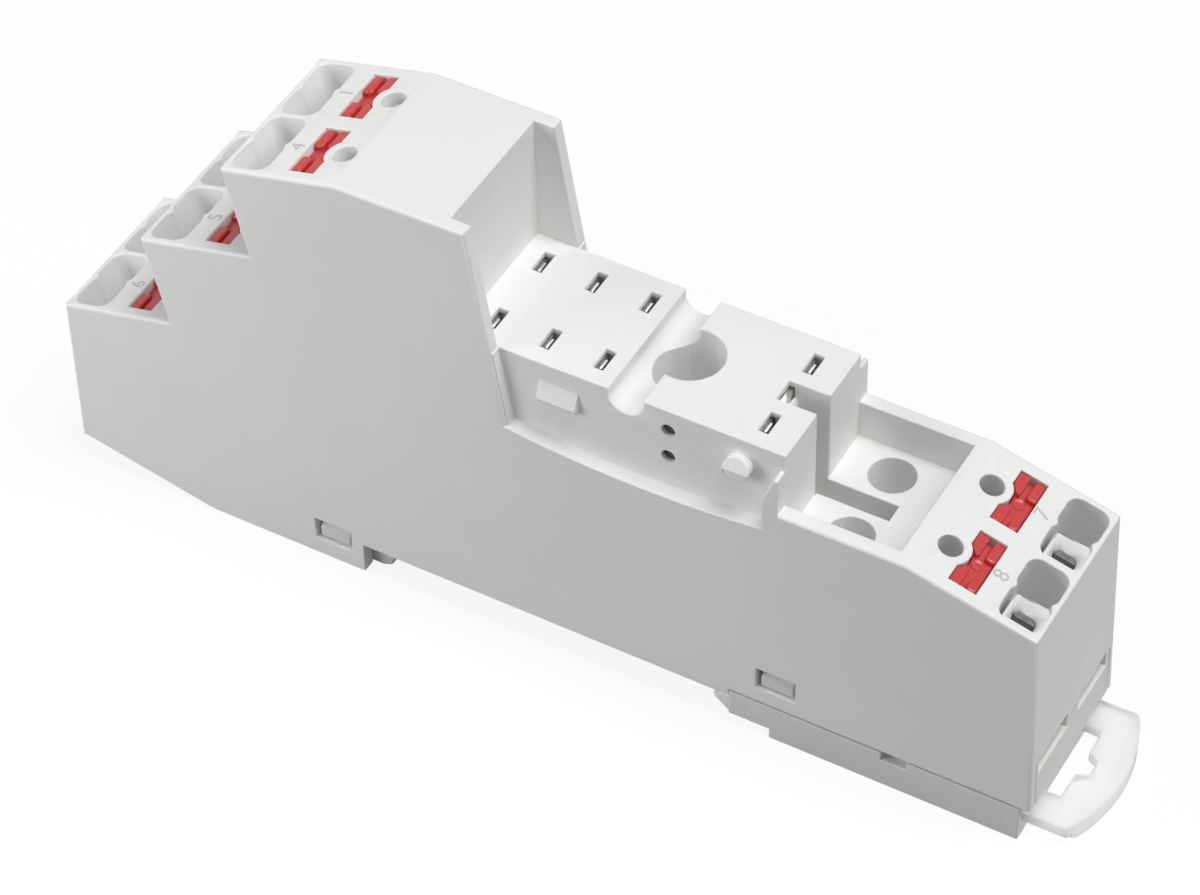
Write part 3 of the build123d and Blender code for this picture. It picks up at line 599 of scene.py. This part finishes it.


# Painted shade: a dark block inside the coil pockets' wire slots stands in for their dark depth
def makeSlotShades():
    look = coilFunnel["shade"]
    bm = bmesh.new()
    for pole in poleY.values():
        cube = bmesh.ops.create_cube(bm, size=mm)["verts"]
        for k, part in enumerate((look["u"], look["y"], look["w"])):
            size = Vector((1, 1, 1))
            size[k] = part[1] - part[0]
            bmesh.ops.scale(bm, verts=cube, vec=size)
            shift = Vector((0, 0, 0))
            shift[k] = (part[0] + part[1]) / 2 + (pole if k == 1 else 0)
            bmesh.ops.translate(bm, verts=cube, vec=shift * mm)
    edge, along, out = tierAxes("coil")
    turn = Matrix((along, Vector((0, 1, 0)), out)).transposed().to_4x4()
    bm.transform(Matrix.Translation(edge * mm) @ turn)
    addPiece("wireSlotShade", bm, "socket", finishes["shade"])


makeSlotShades()
print("small pieces made")


# Plain numerals beside the wire pockets, the far pole's first
numerals = {
    "height": 1.35,              # mm
    "heightShare": 0.69,         # a digit's height as a share of the font's size
    "out": 0.012,                # mm, how far the face stands out of the tier
    "depth": 0.03,               # mm
    "u": 5.22,                   # mm from the tier's outer edge
    "resolution": 4,
    "digits": {"nc": "14", "no": "25", "com": "36", "coil": "78"},
}


def makeNumeral(row, digit, y):
    curve = bpy.data.curves.new(f"numeral-{digit}", "FONT")
    curve.body = digit
    curve.size = numerals["height"] * mm / numerals["heightShare"]
    curve.extrude = numerals["depth"] / 2 * mm
    curve.align_x, curve.align_y = "CENTER", "CENTER"
    curve.resolution_u = numerals["resolution"]
    holder = bpy.data.objects.new("numeralOutline", curve)
    scene.collection.objects.link(holder)
    mesh = bpy.data.meshes.new_from_object(holder.evaluated_get(bpy.context.evaluated_depsgraph_get()))
    bpy.data.objects.remove(holder)
    mesh.transform(tierFrame(row, numerals["u"], y, numerals["out"] - numerals["depth"] / 2))
    mesh.materials.clear()
    mesh.materials.append(finishes["ink"])
    piece = bpy.data.objects.new(f"numeral-{digit}", mesh)
    scene.collection.objects.link(piece)
    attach(piece, "socket")


for row, digits in numerals["digits"].items():
    for digit, y in zip(digits, poleY.values()):
        makeNumeral(row, digit, y)
print("numerals set")


# Floor, light and camera
studio = {
    "floorHalf": 1.2,            # m
    "paperGlow": 0.88,           # share of plain white in what the camera sees of the floor
    "paperSeen": 1.0,            # the floor's grey as the camera sees it
    "paperBounce": 0.30,         # its grey for all other light
    "paperRoughness": 0.9,
    "skyStrength": 0.18,         # the world's light on the object
    "lamps": [                   # places and sizes in m
        {"name": "overheadSoftbox", "place": (0.20, -0.02, 0.78), "aim": (0, 0, 0.02), "size": 0.32,
         "watts": 3.15},
        {"name": "leftSoftbox", "place": (-0.150, -0.160, 0.090), "aim": (-0.02, 0, 0.02), "size": 0.14,
         "watts": 0.23},
        {"name": "endSoftbox", "place": (0.45, 0.10, 0.55), "aim": (0, 0, 0.02), "size": 0.35, "watts": 1.35},
    ],
}


def grey(level):
    return (level, level, level, 1.0)


# 1 for what the camera sees, straight or in a reflection or through the latch; 0 for all other light
def seenDirectly(tree):
    rays = tree.nodes.new("ShaderNodeLightPath")
    total = rays.outputs["Is Camera Ray"]
    for kind in ("Is Glossy Ray", "Is Transmission Ray"):
        larger = tree.nodes.new("ShaderNodeMath")
        larger.operation = "MAXIMUM"
        tree.links.new(total, larger.inputs[0])
        tree.links.new(rays.outputs[kind], larger.inputs[1])
        total = larger.outputs["Value"]
    return total


def makeFloor():
    mesh = bpy.data.meshes.new("studioFloor")
    bm = bmesh.new()
    bmesh.ops.create_grid(bm, x_segments=1, y_segments=1, size=studio["floorHalf"])
    bm.to_mesh(mesh)
    bm.free()
    floor = bpy.data.objects.new("studioFloor", mesh)
    scene.collection.objects.link(floor)
    mat, tree, bsdf = nodeMaterial("studioPaper")[:3]
    seen = seenDirectly(tree)
    shade = tree.nodes.new("ShaderNodeMix")
    shade.data_type = "RGBA"
    shade.inputs["A"].default_value = grey(studio["paperBounce"])
    shade.inputs["B"].default_value = grey(studio["paperSeen"])
    tree.links.new(seen, shade.inputs["Factor"])
    tree.links.new(shade.outputs["Result"], bsdf.inputs["Base Color"])
    bsdf.inputs["Roughness"].default_value = studio["paperRoughness"]
    bsdf.inputs["Specular IOR Level"].default_value = 0.0
    glow = tree.nodes.new("ShaderNodeEmission")
    share = tree.nodes.new("ShaderNodeMath")
    share.operation = "MULTIPLY"
    share.inputs[1].default_value = studio["paperGlow"]
    mix = tree.nodes.new("ShaderNodeMixShader")
    tree.links.new(seen, share.inputs[0])
    tree.links.new(share.outputs["Value"], mix.inputs["Fac"])
    tree.links.new(bsdf.outputs["BSDF"], mix.inputs[1])
    tree.links.new(glow.outputs["Emission"], mix.inputs[2])
    tree.links.new(mix.outputs["Shader"], tree.nodes["Material Output"].inputs["Surface"])
    mesh.materials.append(mat)


def makeLights():
    world = bpy.data.worlds.new("studioWorld")
    scene.world = world
    world.use_nodes = True
    tree = world.node_tree
    tree.nodes.clear()
    out = tree.nodes.new("ShaderNodeOutputWorld")
    fill = tree.nodes.new("ShaderNodeBackground")
    level = tree.nodes.new("ShaderNodeMapRange")
    level.inputs["To Min"].default_value = studio["skyStrength"]
    level.inputs["To Max"].default_value = 1.0
    tree.links.new(seenDirectly(tree), level.inputs["Value"])
    tree.links.new(level.outputs["Result"], fill.inputs["Strength"])
    tree.links.new(fill.outputs["Background"], out.inputs["Surface"])
    fill.inputs["Color"].default_value = grey(1.0)
    for lamp in studio["lamps"]:
        data = bpy.data.lights.new(lamp["name"], "AREA")
        data.size = lamp["size"]
        data.energy = lamp["watts"]
        obj = bpy.data.objects.new(lamp["name"], data)
        scene.collection.objects.link(obj)
        place, aim = Vector(lamp["place"]), Vector(lamp["aim"])
        obj.location = place
        obj.rotation_euler = (aim - place).to_track_quat("-Z", "Y").to_euler()


camera = {
    "place": (124.90, -215.53, 272.58),      # mm
    "right": (0.87180, 0.48966, -0.01406),
    "down": (0.34166, -0.62836, -0.69888),
    "ahead": (-0.35105, 0.60447, -0.71510),
    "sensor": 36.0,                          # mm
    "lens": 128.463,                         # mm
    "clip": (0.01, 20.0),                    # m
}


def makeCamera():
    data = bpy.data.cameras.new("studioCamera")
    data.sensor_width = camera["sensor"]
    data.lens = camera["lens"]
    data.clip_start, data.clip_end = camera["clip"]
    obj = bpy.data.objects.new("studioCamera", data)
    scene.collection.objects.link(obj)
    right, up, back = (Vector(camera["right"]), -Vector(camera["down"]), -Vector(camera["ahead"]))
    turn = Matrix((right, up, back)).transposed().to_4x4()
    obj.matrix_world = Matrix.Translation(Vector(camera["place"]) * mm) @ turn
    scene.camera = obj


makeFloor()
makeLights()
makeCamera()
print("studio ready")
